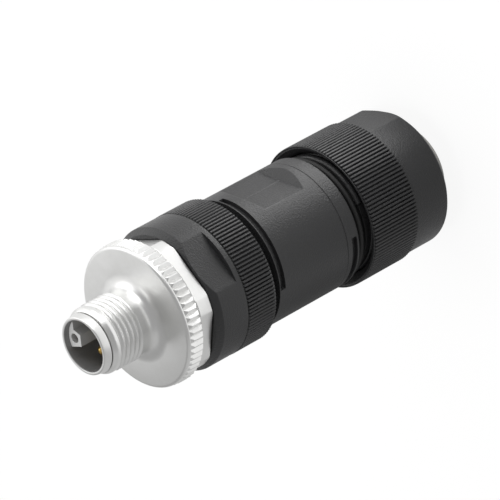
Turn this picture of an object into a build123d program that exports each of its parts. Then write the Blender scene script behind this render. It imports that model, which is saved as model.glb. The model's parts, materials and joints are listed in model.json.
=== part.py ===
"""Circular power connector for a cable: a plug with three pins and an earth socket.

It stands on its cable end with the pins up. Millimetres, +Z towards the pins,
the origin on the axis at the lowest face. Angles are azimuths about Z, from +X.
"""

from build123d import *
import math
import os

os.makedirs("parts", exist_ok=True)

# Clearances
running = 0.10          # a part that turns on a round seat
thread_clearance = 0.15 # between a male and a female thread, modelled at their plain radii
free = 0.30             # between parts that move past each other
seat = 0.05             # between parts that are pushed together

# Stack along the axis, from the lowest face up
cage_reach = 3.55       # clamp cage below the gland nut
nut_flats_length = 8.05
nut_knurl_length = 10.8
nut_gap = 2.3           # bare neck between the gland nut and the sleeve's body
sleeve_body_length = 18.7
collar_gap = 1.65       # bare neck between the sleeve's body and the front collar
collar_knurl_length = 6.55
collar_plain_length = 6.5
screw_gap = 0.2         # between the front collar and the coupling screw's hexagon
hexagon_length = 2.7
disc_length = 3.9
disc_to_thread = 3.0    # fillet and neck between the toothed disc and the thread
thread_length = 5.2
lead_length = 1.7
rim_gap = 0.15          # between the coupling screw and the shell's rim
rim_length = 1.45

nut_low = cage_reach
nut_knurl_low = nut_low + nut_flats_length
nut_high = nut_knurl_low + nut_knurl_length
sleeve_body_low = nut_high + nut_gap
sleeve_body_high = sleeve_body_low + sleeve_body_length
collar_low = sleeve_body_high + collar_gap
collar_knurl_high = collar_low + collar_knurl_length
collar_high = collar_knurl_high + collar_plain_length
hexagon_low = collar_high + screw_gap
disc_low = hexagon_low + hexagon_length
disc_high = disc_low + disc_length
thread_low = disc_high + disc_to_thread
thread_high = thread_low + thread_length
screw_high = thread_high + lead_length
rim_low = screw_high + rim_gap
shell_high = rim_low + rim_length

# Azimuths of what shows on the outside
hexagon_azimuth = -77.8
collar_flat_azimuth = -79.2
sleeve_pocket_azimuth = -35.0
front_slot_azimuth = -79.2
rear_slot_azimuth = 190.8
nut_flat_azimuth = -26.4
key_azimuth = 54.0      # key block with the earth socket

# Contact shell
shell_wall = 0.40
rim_front_step = 0.10   # the rim stands out from the tube by this much in front
rim_back_step = 0.40    # and by this much behind
shell_length = 28.7

# Coupling screw, thread M12 x 1
thread_radius = 6.0
lead_setback = 0.10     # the lead lies this far inside the thread's crests
lead_round = 0.45
screw_neck_setback = 0.5
screw_neck_length = 0.5
screw_wall = 0.45       # from the bore to the neck
disc_setback = 0.10     # the disc's crests lie this far inside the front collar's outside
disc_bevel = 0.3
disc_back_setback = 1.1
disc_back_bevel = 0.8
tooth_count = 62
tooth_depth = 0.55
tooth_front = 0.65      # the teeth end this far behind the disc's face
fillet_foot_radius = 7.0
hexagon_flat_setback = 1.7      # the flats lie this far inside the disc's crests
hexagon_corner_setback = 0.65
hub_radius = 8.0

# Front collar
collar_skirt = 2.1      # from the thread's seat to the knurl's crests
collar_setback = 0.05   # the plain part lies this far inside the knurl's crests
collar_bevel = 1.0
collar_rear_bevel = 0.8
collar_flat_depth = 1.05
collar_flat_end = 1.0   # plain strip left between the flats and the knurl
collar_wall = 2.1       # front wall that pulls on the terminal block's flange
front_thread_radius = 10.6
thread_run_in = 0.4

# Knurls of the front collar and the gland nut
knurl_count = 120
knurl_depth = 0.40

# Sleeve
sleeve_step = 1.2       # from the front thread's crests to the body's outside
chamber_wall = 0.8      # between the chamber and the front thread's crests
sleeve_edge = 0.3
pocket_depth = 1.35
pocket_low = 5.6        # above the lower end of the sleeve's body
pocket_length = 8.7
pocket_end_slope = 1.2
front_slot_width = 0.9
front_slot_lip = 0.4
rear_slot_width = 1.15
rear_slot_lip = 0.55
slot_depth = 0.7
slot_half_angle = 50.0
rear_thread_radius = 11.0
rear_thread_length = 11.9
neck_setback = 1.0      # the neck lies this far inside the rear thread's crests
neck_length = 2.6
seal_bore_wall = 1.3    # between the seal's bore and the rear thread's crests
shoulder_width = 1.3
shoulder_length = 3.8

# Gland nut
nut_skirt = 1.75        # from the thread's seat to the knurl's crests
nut_plain_setback = 0.4
nut_flat_depth = 0.85
nut_wall = 1.8
nut_mouth_bevel = 1.15
nut_edge = 0.4
nut_rear_bevel = 0.8

# Clamp cage, thrust washer and cable seal
cage_collar_radius = 8.0
cage_collar_wall = 1.4
cage_length = 15.0
cage_relief = 0.25      # the bore is this much wider above the collar
window_count = 8
window_width = 1.6
window_length = 6.2
window_foot = 1.8
washer_thickness = 0.7
washer_bore_radius = 7.0
seal_gap = 0.2
seal_bore = 6.3
seal_groove = 0.5

# O-rings
nut_seal_section = 0.6
carrier_seal_section = 0.7

# Terminal block
flange_setback = 0.4    # the flange lies this far inside the front collar's thread
flange_thickness = 3.4
flange_gap = 0.2
block_gap = 0.5         # between the block and the sleeve's chamber
block_length = 27.0
seal_groove_depth = 1.05
seal_groove_width = 1.6
key_tab_width = 3.0
key_tab_length = 1.5
seal_groove_drop = key_tab_length + 0.3

# Contacts: a pin or socket in front, a square terminal with a wire chamber behind
pin_circle = 2.4
earth_circle = 3.1
pin_radius = 0.75
pin_tip_round = 0.6
pin_recess = 3.2        # pin tips below the rim
earth_recess = 2.2
earth_hole_radius = 0.85
earth_radius = 1.05
earth_bore_radius = 0.80
earth_bore_length = 9.0
terminal_inner = 2.3    # radial place of the terminal's inner face
terminal_depth = 5.2
terminal_width = 3.3
terminal_length = 9.0
terminal_low = 2.0      # above the terminal block's lower face
chamber_inner = 3.6
chamber_depth = 2.9
chamber_width = 2.2
chamber_length = 7.5
terminal_screw_radius = 0.95
terminal_screw_recess = 0.35    # the screws lie this far inside the block's outside
slot_cut_width = 0.4
slot_cut_depth = 0.6
tool_hole_radius = 1.25
plate_thickness = 0.3
plate_length = 5.0
pin_hole_clearance = 0.04

# Contact insert
cavity_depth = 9.0
key_recess = 1.0        # key block's face below the rim
key_inner = 1.65
key_inner_half_width = 1.06
key_flare = 0.34        # how much each side of the key block widens per length outwards
key_shoulder_radius = 3.2

# Radii that follow from their neighbours
lead_radius = thread_radius - lead_setback
screw_neck_radius = thread_radius - screw_neck_setback
shell_radius = screw_neck_radius - screw_wall - running
rim_front_radius = shell_radius + rim_front_step
rim_back_radius = shell_radius + rim_back_step
insert_radius = shell_radius - shell_wall - seat
sleeve_radius = front_thread_radius + sleeve_step
chamber_radius = front_thread_radius - chamber_wall
block_radius = chamber_radius - block_gap
seal_groove_radius = block_radius - seal_groove_depth
sleeve_neck_radius = rear_thread_radius - neck_setback
seal_bore_radius = rear_thread_radius - seal_bore_wall
shoulder_radius = seal_bore_radius - shoulder_width
cage_radius = seal_bore_radius - free
cage_bore_radius = cage_collar_radius - cage_collar_wall
nut_thread_radius = rear_thread_radius + thread_clearance
nut_knurl_radius = nut_thread_radius + nut_skirt
nut_plain_radius = nut_knurl_radius - nut_plain_setback
nut_mouth_radius = nut_thread_radius + nut_mouth_bevel
collar_thread_radius = front_thread_radius + thread_clearance
flange_radius = collar_thread_radius - flange_setback
collar_knurl_radius = collar_thread_radius + collar_skirt
collar_radius = collar_knurl_radius - collar_setback
disc_radius = collar_radius - disc_setback
tooth_root_radius = disc_radius - tooth_depth
disc_face_radius = tooth_root_radius - disc_bevel
disc_back_radius = disc_radius - disc_back_setback
hexagon_corner_radius = disc_radius - hexagon_corner_setback

# Places that follow from the stack
sleeve_thread_low = sleeve_body_low - neck_length - rear_thread_length
seal_shoulder_low = sleeve_body_low - neck_length - 0.6
chamber_low = seal_shoulder_low + shoulder_length
hub_low = collar_high - collar_wall + running
flange_high = collar_high - collar_wall - flange_gap
flange_low = flange_high - flange_thickness
sleeve_high = flange_low - flange_gap
block_low = flange_high - block_length
shell_low = shell_high - shell_length
insert_low = shell_low - 0.8
insert_high = shell_high - cavity_depth
terminal_bottom = block_low + terminal_low
terminal_top = terminal_bottom + terminal_length
terminal_middle = terminal_bottom + chamber_length / 2
contact_azimuths = [key_azimuth + 90 * k for k in range(4)]


def polar(radius, azimuth):
    """The point at a radius and an azimuth, in the plane across the axis."""
    angle = math.radians(azimuth)
    return (radius * math.cos(angle), radius * math.sin(angle))


def toothed_outline(count, crest_radius, root_radius):
    """Corners of a closed outline with pointed ribs, crests and roots in turn."""
    step = 180 / count
    return [
        polar(crest_radius if k % 2 == 0 else root_radius, k * step)
        for k in range(2 * count)
    ]


def radial_plane(azimuth, height):
    """A plane across the radial direction: its normal points outwards, its x axis up."""
    angle = math.radians(azimuth)
    return Plane(
        origin=(0, 0, height),
        x_dir=(0, 0, 1),
        z_dir=(math.cos(angle), math.sin(angle), 0),
    )


def upright_plane(azimuth):
    """A plane that holds the axis: its x axis points outwards, its y axis up."""
    angle = math.radians(azimuth)
    return Plane(
        origin=(0, 0, 0),
        x_dir=(math.cos(angle), math.sin(angle), 0),
        z_dir=(math.sin(angle), -math.cos(angle), 0),
    )


# Sleeve: one moulding with a thread at each end and a chamber for the terminals
with BuildPart() as sleeve:
    with BuildSketch(Plane.XZ):
        with BuildLine():
            Polyline(
                (seal_bore_radius, sleeve_thread_low),
                (rear_thread_radius - thread_run_in, sleeve_thread_low),
                (rear_thread_radius, sleeve_thread_low + thread_run_in),
                (rear_thread_radius, sleeve_body_low - neck_length),
                (sleeve_neck_radius, sleeve_body_low - neck_length),
                (sleeve_neck_radius, sleeve_body_low),
                (sleeve_radius - sleeve_edge, sleeve_body_low),
                (sleeve_radius, sleeve_body_low + sleeve_edge),
                (sleeve_radius, sleeve_body_high - sleeve_edge / 2),
                (sleeve_radius - sleeve_edge / 2, sleeve_body_high),
                (front_thread_radius, sleeve_body_high),
                (front_thread_radius, sleeve_high - thread_run_in),
                (front_thread_radius - thread_run_in, sleeve_high),
                (chamber_radius, sleeve_high),
                (chamber_radius, chamber_low),
                (shoulder_radius, chamber_low),
                (shoulder_radius, seal_shoulder_low),
                (seal_bore_radius, seal_shoulder_low),
                close=True,
            )
        make_face()
    revolve(axis=Axis.Z)
    # Two opposite grip pockets with a flat floor and sloping ends
    floor = sleeve_radius - pocket_depth
    rise = 2 * (sleeve_radius - floor)
    for turn in (0, 180):
        with BuildSketch(upright_plane(sleeve_pocket_azimuth + turn)):
            with BuildLine():
                foot = sleeve_body_low + pocket_low
                head = foot + pocket_length
                Polyline(
                    (floor, foot),
                    (floor, head),
                    (floor + rise, head + pocket_end_slope * rise),
                    (floor + rise, foot - pocket_end_slope * rise),
                    close=True,
                )
            make_face()
        extrude(amount=sleeve_radius, both=True, mode=Mode.SUBTRACT)
    # Slots round part of the body: two opposite ones in front, a single one behind
    front_slot_low = sleeve_body_high - front_slot_lip - front_slot_width
    rear_slot_low = sleeve_body_low + rear_slot_lip
    for azimuth, foot, width in (
        (front_slot_azimuth, front_slot_low, front_slot_width),
        (front_slot_azimuth + 180, front_slot_low, front_slot_width),
        (rear_slot_azimuth, rear_slot_low, rear_slot_width),
    ):
        with BuildSketch(upright_plane(azimuth + slot_half_angle)):
            with Locations((sleeve_radius, foot)):
                Rectangle(2 * slot_depth, width, align=(Align.CENTER, Align.MIN))
        revolve(axis=Axis.Z, revolution_arc=2 * slot_half_angle, mode=Mode.SUBTRACT)
    # Notch in the front edge for the terminal block's key tab
    with BuildSketch(Plane.XY.offset(sleeve_high - key_tab_length - free)):
        with Locations(Location((0, 0, 0), (0, 0, key_azimuth))):
            Rectangle(
                sleeve_radius, key_tab_width + 2 * running, align=(Align.MIN, Align.CENTER)
            )
    extrude(amount=key_tab_length + 2 * free, mode=Mode.SUBTRACT)
sleeve.part.label = "sleeve"
export_step(sleeve.part, "parts/sleeve.step")

# Gland nut: knurled ring in front, two wrench flats behind, a cone inside
nut_hole_radius = cage_collar_radius + free
cone_low = nut_low + nut_wall
cone_high = cone_low + (nut_thread_radius - free - nut_hole_radius)
with BuildPart() as gland_nut:
    with BuildSketch(Plane.XY.offset(nut_knurl_low)):
        with BuildLine():
            Polyline(
                *toothed_outline(knurl_count, nut_knurl_radius, nut_knurl_radius - knurl_depth),
                close=True,
            )
        make_face()
    extrude(amount=nut_knurl_length)
    with BuildSketch(Plane.XZ):
        with BuildLine():
            Polyline(
                (0, nut_knurl_low),
                (nut_knurl_radius - nut_edge, nut_knurl_low),
                (nut_knurl_radius, nut_knurl_low + nut_edge),
                (nut_knurl_radius, nut_high - nut_edge / 2),
                (nut_knurl_radius - nut_edge / 2, nut_high),
                (0, nut_high),
                close=True,
            )
        make_face()
    revolve(axis=Axis.Z, mode=Mode.INTERSECT)
    with BuildSketch(Plane.XZ):
        with BuildLine():
            Polyline(
                (0, nut_low),
                (nut_plain_radius - nut_rear_bevel, nut_low),
                (nut_plain_radius, nut_low + nut_rear_bevel),
                (nut_plain_radius, nut_knurl_low),
                (0, nut_knurl_low),
                close=True,
            )
        make_face()
    revolve(axis=Axis.Z)
    for turn in (0, 180):
        flat_plane = radial_plane(nut_flat_azimuth + turn, nut_low)
        with BuildSketch(flat_plane.offset(nut_plain_radius - nut_flat_depth)):
            Rectangle(
                nut_flats_length, 2 * nut_plain_radius, align=(Align.MIN, Align.CENTER)
            )
        extrude(amount=nut_plain_radius, mode=Mode.SUBTRACT)
    with BuildSketch(Plane.XZ):
        with BuildLine():
            Polyline(
                (0, nut_low - 1),
                (nut_hole_radius, nut_low - 1),
                (nut_hole_radius, cone_low),
                (nut_thread_radius - free, cone_high),
                (nut_thread_radius, cone_high),
                (nut_thread_radius, nut_high - (nut_mouth_radius - nut_thread_radius)),
                (nut_mouth_radius, nut_high),
                (nut_mouth_radius, nut_high + 1),
                (0, nut_high + 1),
                close=True,
            )
        make_face()
    revolve(axis=Axis.Z, mode=Mode.SUBTRACT)
gland_nut.part.label = "gland_nut"
export_step(gland_nut.part, "parts/gland_nut.step")

# Clamp cage: a collar, a cone that the nut presses on and windows between its blades
cage_cone_low = cone_low + free * (math.sqrt(2) - 1)
cage_cone_high = cage_cone_low + cage_radius - cage_collar_radius
cage_bore_length = cage_cone_low + running
with BuildPart() as clamp_cage:
    with BuildSketch(Plane.XZ):
        with BuildLine():
            Polyline(
                (cage_bore_radius, 0),
                (cage_collar_radius - sleeve_edge, 0),
                (cage_collar_radius, sleeve_edge),
                (cage_collar_radius, cage_cone_low),
                (cage_radius, cage_cone_high),
                (cage_radius, cage_length),
                (cage_bore_radius + cage_relief, cage_length),
                (cage_bore_radius + cage_relief, cage_bore_length),
                (cage_bore_radius, cage_bore_length),
                close=True,
            )
        make_face()
    revolve(axis=Axis.Z)
    for k in range(window_count):
        window_plane = radial_plane(360 * k / window_count, cage_bore_length + window_foot)
        with BuildSketch(window_plane.offset(cage_bore_radius / 2)):
            Rectangle(window_length, window_width, align=(Align.MIN, Align.CENTER))
        extrude(amount=cage_radius, mode=Mode.SUBTRACT)
clamp_cage.part.label = "clamp_cage"
export_step(clamp_cage.part, "parts/clamp_cage.step")

# Thrust washer between the cage and the cable seal
with BuildPart() as thrust_washer:
    with BuildSketch(Plane.XY.offset(cage_length)):
        Circle(cage_radius)
        Circle(washer_bore_radius, mode=Mode.SUBTRACT)
    extrude(amount=washer_thickness)
thrust_washer.part.label = "thrust_washer"
export_step(thrust_washer.part, "parts/thrust_washer.step")

# Cable seal: a thick rubber ring with a groove inside, seated on the sleeve's shoulder
seal_low = cage_length + washer_thickness + seal_gap
seal_middle = (seal_low + seal_shoulder_low) / 2
with BuildPart() as cable_seal:
    with BuildSketch(Plane.XZ):
        with BuildLine():
            Polyline(
                (seal_bore + seal_groove / 2, seal_low),
                (seal_bore_radius - seat, seal_low),
                (seal_bore_radius - seat, seal_shoulder_low),
                (seal_bore + seal_groove / 2, seal_shoulder_low),
                (seal_bore, seal_shoulder_low - seal_groove),
                (seal_bore, seal_middle + 2 * seal_groove),
                (seal_bore + seal_groove, seal_middle),
                (seal_bore, seal_middle - 2 * seal_groove),
                (seal_bore, seal_low + seal_groove),
                close=True,
            )
        make_face()
    revolve(axis=Axis.Z)
cable_seal.part.label = "cable_seal"
export_step(cable_seal.part, "parts/cable_seal.step")

# O-ring on the sleeve's neck, beside the gland nut
with BuildPart() as nut_seal:
    with BuildSketch(Plane.XZ):
        ring_height = nut_high + nut_seal_section + free
        with Locations((sleeve_neck_radius + nut_seal_section + seat / 2, ring_height)):
            Circle(nut_seal_section)
    revolve(axis=Axis.Z)
nut_seal.part.label = "nut_seal"
export_step(nut_seal.part, "parts/nut_seal.step")

# Front collar: union nut with a knurl, two wrench flats and a front wall
collar_hole_radius = hub_radius + free
collar_wall_low = collar_high - collar_wall
with BuildPart() as front_collar:
    with BuildSketch(Plane.XY.offset(collar_low)):
        with BuildLine():
            Polyline(
                *toothed_outline(
                    knurl_count, collar_knurl_radius, collar_knurl_radius - knurl_depth
                ),
                close=True,
            )
        make_face()
    extrude(amount=collar_knurl_length)
    with BuildSketch(Plane.XZ):
        with BuildLine():
            Polyline(
                (0, collar_low),
                (collar_knurl_radius - collar_rear_bevel, collar_low),
                (collar_knurl_radius, collar_low + collar_rear_bevel),
                (collar_knurl_radius, collar_knurl_high),
                (0, collar_knurl_high),
                close=True,
            )
        make_face()
    revolve(axis=Axis.Z, mode=Mode.INTERSECT)
    with BuildSketch(Plane.XZ):
        with BuildLine():
            Polyline(
                (0, collar_knurl_high),
                (collar_radius, collar_knurl_high),
                (collar_radius, collar_high - collar_bevel),
                (collar_radius - collar_bevel, collar_high),
                (0, collar_high),
                close=True,
            )
        make_face()
    revolve(axis=Axis.Z)
    for turn in (0, 180):
        flat_plane = radial_plane(
            collar_flat_azimuth + turn, collar_knurl_high + collar_flat_end
        )
        with BuildSketch(flat_plane.offset(collar_radius - collar_flat_depth)):
            Rectangle(
                collar_plain_length, 2 * collar_radius, align=(Align.MIN, Align.CENTER)
            )
        extrude(amount=collar_radius, mode=Mode.SUBTRACT)
    with BuildSketch(Plane.XZ):
        with BuildLine():
            Polyline(
                (0, collar_low - 1),
                (collar_thread_radius + thread_run_in, collar_low - 1),
                (collar_thread_radius + thread_run_in, collar_low),
                (collar_thread_radius, collar_low + thread_run_in),
                (collar_thread_radius, collar_wall_low),
                (collar_hole_radius, collar_wall_low),
                (collar_hole_radius, collar_high + 1),
                (0, collar_high + 1),
                close=True,
            )
        make_face()
    revolve(axis=Axis.Z, mode=Mode.SUBTRACT)
front_collar.part.label = "front_collar"
export_step(front_collar.part, "parts/front_collar.step")

# Coupling screw: hub, hexagon, toothed disc, fillet, thread and rounded lead
with BuildPart() as coupling_screw:
    with BuildSketch(Plane.XY.offset(disc_low)):
        with BuildLine():
            Polyline(
                *toothed_outline(tooth_count, disc_radius, tooth_root_radius),
                close=True,
            )
        make_face()
    extrude(amount=disc_length - tooth_front)
    with BuildSketch(Plane.XZ):
        with BuildLine():
            Polyline(
                (0, disc_low),
                (disc_back_radius, disc_low),
                (disc_radius, disc_low + disc_back_bevel),
                (disc_radius, disc_high),
                (0, disc_high),
                close=True,
            )
        make_face()
    revolve(axis=Axis.Z, mode=Mode.INTERSECT)
    with BuildSketch(Plane.XY.offset(disc_high - tooth_front)):
        Circle(tooth_root_radius)
    with BuildSketch(Plane.XY.offset(disc_high)):
        Circle(disc_face_radius)
    loft()
    with BuildSketch(Plane.XY.offset(hexagon_low)):
        RegularPolygon(
            disc_radius - hexagon_flat_setback,
            6,
            major_radius=False,
            rotation=hexagon_azimuth + 30,
        )
        Circle(hexagon_corner_radius, mode=Mode.INTERSECT)
    extrude(amount=hexagon_length)
    with BuildSketch(Plane.XZ):
        with BuildLine():
            neck_low = thread_low - screw_neck_length
            fillet_width = fillet_foot_radius - screw_neck_radius
            fillet_height = neck_low - disc_high
            fillet_radius = (fillet_width**2 + fillet_height**2) / (2 * fillet_width)
            Polyline(
                (fillet_foot_radius, disc_high),
                (0, disc_high),
                (0, screw_high),
                (lead_radius - lead_round, screw_high),
            )
            RadiusArc(
                (lead_radius - lead_round, screw_high),
                (lead_radius, screw_high - lead_round),
                lead_round,
            )
            Polyline(
                (lead_radius, screw_high - lead_round),
                (lead_radius, thread_high),
                (thread_radius, thread_high - (thread_radius - lead_radius)),
                (thread_radius, thread_low + (thread_radius - screw_neck_radius) / 2),
                (screw_neck_radius, thread_low),
                (screw_neck_radius, neck_low),
            )
            RadiusArc(
                (screw_neck_radius, neck_low),
                (fillet_foot_radius, disc_high),
                -fillet_radius,
            )
        make_face()
    revolve(axis=Axis.Z)
    with BuildSketch(Plane.XY.offset(hub_low)):
        Circle(hub_radius)
    extrude(amount=hexagon_low - hub_low)
    with BuildSketch(Plane.XY.offset(hub_low)):
        Circle(shell_radius + running)
    extrude(amount=screw_high - hub_low, mode=Mode.SUBTRACT)
coupling_screw.part.label = "coupling_screw"
export_step(coupling_screw.part, "parts/coupling_screw.step")

# Contact shell: thin tube with a flared rim
with BuildPart() as contact_shell:
    with BuildSketch(Plane.XZ):
        with BuildLine():
            bore = shell_radius - shell_wall
            Polyline(
                (bore, shell_low),
                (shell_radius, shell_low),
                (shell_radius, rim_low),
                (rim_back_radius, rim_low),
                (rim_front_radius, shell_high - shell_wall / 4),
                (rim_front_radius - shell_wall / 4, shell_high),
                (bore + shell_wall / 4, shell_high),
                (bore, shell_high - shell_wall / 4),
                close=True,
            )
        make_face()
    revolve(axis=Axis.Z)
contact_shell.part.label = "contact_shell"
export_step(contact_shell.part, "parts/contact_shell.step")

# Contact insert: round plug with the cavity's floor and a flared key block with one shoulder
earth_angle = Location((0, 0, 0), (0, 0, key_azimuth))
key_outer_half_width = key_inner_half_width + key_flare * insert_radius
with BuildPart() as contact_insert:
    with BuildSketch(Plane.XY.offset(insert_low)):
        Circle(insert_radius)
    extrude(amount=insert_high - insert_low)
    with BuildSketch(Plane.XY.offset(insert_high)):
        with Locations(earth_angle):
            with Locations((key_inner, 0)):
                Polygon(
                    (0, -key_inner_half_width),
                    (insert_radius, -key_outer_half_width),
                    (insert_radius, key_outer_half_width),
                    (0, key_inner_half_width),
                    align=None,
                )
            with Locations((key_shoulder_radius, 0)):
                Rectangle(insert_radius, insert_radius, align=(Align.MIN, Align.MAX))
        Circle(insert_radius, mode=Mode.INTERSECT)
    extrude(amount=cavity_depth - key_recess)
    with BuildSketch(Plane.XY.offset(insert_low)):
        for azimuth in contact_azimuths[1:]:
            with Locations(polar(pin_circle, azimuth)):
                Circle(pin_radius + pin_hole_clearance)
        with Locations(polar(earth_circle, key_azimuth)):
            Circle(earth_radius + pin_hole_clearance)
    extrude(amount=shell_high - earth_recess - insert_low, mode=Mode.SUBTRACT)
    with BuildSketch(Plane.XY.offset(shell_high)):
        with Locations(polar(earth_circle, key_azimuth)):
            Circle(earth_hole_radius)
    extrude(amount=-earth_recess, mode=Mode.SUBTRACT)
contact_insert.part.label = "contact_insert"
export_step(contact_insert.part, "parts/contact_insert.step")

# Terminal block: flange, seal groove, seat of the shell, pockets for the terminals
with BuildPart() as terminal_block:
    with BuildSketch(Plane.XZ):
        with BuildLine():
            groove_high = flange_low - seal_groove_drop
            Polyline(
                (0, block_low),
                (block_radius - sleeve_edge, block_low),
                (block_radius, block_low + sleeve_edge),
                (block_radius, groove_high - seal_groove_width),
                (seal_groove_radius, groove_high - seal_groove_width),
                (seal_groove_radius, groove_high),
                (block_radius, groove_high),
                (block_radius, flange_low),
                (flange_radius, flange_low),
                (flange_radius, flange_high),
                (0, flange_high),
                close=True,
            )
        make_face()
    revolve(axis=Axis.Z)
    with BuildSketch(Plane.XY.offset(flange_low)):
        with Locations(earth_angle):
            with Locations((seal_groove_radius, 0)):
                Rectangle(
                    front_thread_radius, key_tab_width, align=(Align.MIN, Align.CENTER)
                )
        Circle(flange_radius, mode=Mode.INTERSECT)
    extrude(amount=-key_tab_length)
    with BuildSketch(Plane.XY.offset(flange_high)):
        Circle(shell_radius + seat)
    extrude(amount=insert_low - flange_high, mode=Mode.SUBTRACT)
    with BuildSketch(Plane.XY.offset(terminal_top)):
        for azimuth in contact_azimuths[1:]:
            with Locations(polar(pin_circle, azimuth)):
                Circle(pin_radius + pin_hole_clearance)
        with Locations(polar(earth_circle, key_azimuth)):
            Circle(earth_radius + pin_hole_clearance)
    extrude(amount=insert_low - terminal_top, mode=Mode.SUBTRACT)
    with BuildSketch(Plane.XY.offset(block_low)):
        for azimuth in contact_azimuths:
            with Locations(Location((0, 0, 0), (0, 0, azimuth))):
                with Locations((terminal_inner - seat, 0)):
                    Rectangle(
                        terminal_depth + 2 * seat,
                        terminal_width + 2 * seat,
                        align=(Align.MIN, Align.CENTER),
                    )
    extrude(amount=terminal_top - block_low, mode=Mode.SUBTRACT)
    for azimuth in contact_azimuths:
        tool_plane = radial_plane(azimuth, terminal_middle)
        with BuildSketch(tool_plane.offset(terminal_inner + terminal_depth)):
            Circle(tool_hole_radius)
        extrude(amount=block_radius, mode=Mode.SUBTRACT)
terminal_block.part.label = "terminal_block"
export_step(terminal_block.part, "parts/terminal_block.step")

# O-ring in the terminal block's groove
with BuildPart() as carrier_seal:
    with BuildSketch(Plane.XZ):
        ring_radius = seal_groove_radius + carrier_seal_section + seat
        with Locations((ring_radius, flange_low - seal_groove_drop - seal_groove_width / 2)):
            Circle(carrier_seal_section)
    revolve(axis=Axis.Z)
carrier_seal.part.label = "carrier_seal"
export_step(carrier_seal.part, "parts/carrier_seal.step")

# Contacts: the earth socket first, then the three pins
contact_names = ["earth_contact", "contact_pin_1", "contact_pin_2", "contact_pin_3"]
screw_inner = chamber_inner + chamber_depth - plate_thickness + seat
terminal_screw_length = block_radius - terminal_screw_recess - screw_inner
for index, azimuth in enumerate(contact_azimuths):
    is_earth = index == 0
    circle = earth_circle if is_earth else pin_circle
    with BuildPart() as contact:
        with BuildSketch(Plane.XY.offset(terminal_bottom)):
            with Locations(Location((0, 0, 0), (0, 0, azimuth))):
                with Locations((terminal_inner, 0)):
                    Rectangle(
                        terminal_depth, terminal_width, align=(Align.MIN, Align.CENTER)
                    )
        extrude(amount=terminal_length)
        if is_earth:
            socket_high = shell_high - earth_recess
            with BuildSketch(Plane.XY.offset(terminal_top)):
                with Locations(polar(circle, azimuth)):
                    Circle(earth_radius)
            extrude(amount=socket_high - terminal_top)
            with BuildSketch(Plane.XY.offset(socket_high)):
                with Locations(polar(circle, azimuth)):
                    Circle(earth_bore_radius)
            extrude(amount=-earth_bore_length, mode=Mode.SUBTRACT)
        else:
            pin_high = shell_high - pin_recess
            with BuildSketch(Plane.XY.offset(terminal_top)):
                with Locations(polar(circle, azimuth)):
                    Circle(pin_radius)
            extrude(amount=pin_high - terminal_top)
            fillet(contact.faces().sort_by(Axis.Z)[-1].edges(), pin_tip_round)
        with BuildSketch(Plane.XY.offset(terminal_bottom)):
            with Locations(Location((0, 0, 0), (0, 0, azimuth))):
                with Locations((chamber_inner, 0)):
                    Rectangle(
                        chamber_depth, chamber_width, align=(Align.MIN, Align.CENTER)
                    )
        extrude(amount=chamber_length, mode=Mode.SUBTRACT)
        with BuildSketch(radial_plane(azimuth, terminal_middle).offset(screw_inner)):
            Circle(terminal_screw_radius + seat)
        extrude(amount=terminal_depth, mode=Mode.SUBTRACT)
    contact.part.label = contact_names[index]
    export_step(contact.part, f"parts/{contact_names[index]}.step")

# Terminal screws and the pressure plates below them, at each contact's azimuth
for index, azimuth in enumerate(contact_azimuths):
    screw_plane = radial_plane(azimuth, terminal_middle)
    with BuildPart() as terminal_screw:
        with BuildSketch(screw_plane.offset(screw_inner)):
            Circle(terminal_screw_radius)
        extrude(amount=terminal_screw_length)
        with BuildSketch(screw_plane.offset(screw_inner + terminal_screw_length)):
            Rectangle(slot_cut_width, 3 * terminal_screw_radius)
        extrude(amount=-slot_cut_depth, mode=Mode.SUBTRACT)
    terminal_screw.part.label = f"terminal_screw_{index + 1}"
    export_step(terminal_screw.part, f"parts/terminal_screw_{index + 1}.step")
    with BuildPart() as wire_plate:
        with BuildSketch(screw_plane.offset(screw_inner - seat - plate_thickness)):
            Rectangle(plate_length, chamber_width - 2 * running)
        extrude(amount=plate_thickness)
    wire_plate.part.label = f"wire_plate_{index + 1}"
    export_step(wire_plate.part, f"parts/wire_plate_{index + 1}.step")
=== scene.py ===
"""Dresses the circular power connector: plated coupling screw, black mouldings, gold contacts.

Lengths are millimetres and angles are degrees of azimuth about the upright axis.
Meshes are made in metres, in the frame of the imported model.
"""

import json
import logging
import math
from dataclasses import dataclass
from enum import Enum
from typing import Callable, Optional, Sequence

import bmesh
import bpy
import numpy as np
from mathutils import Matrix, Vector

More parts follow.
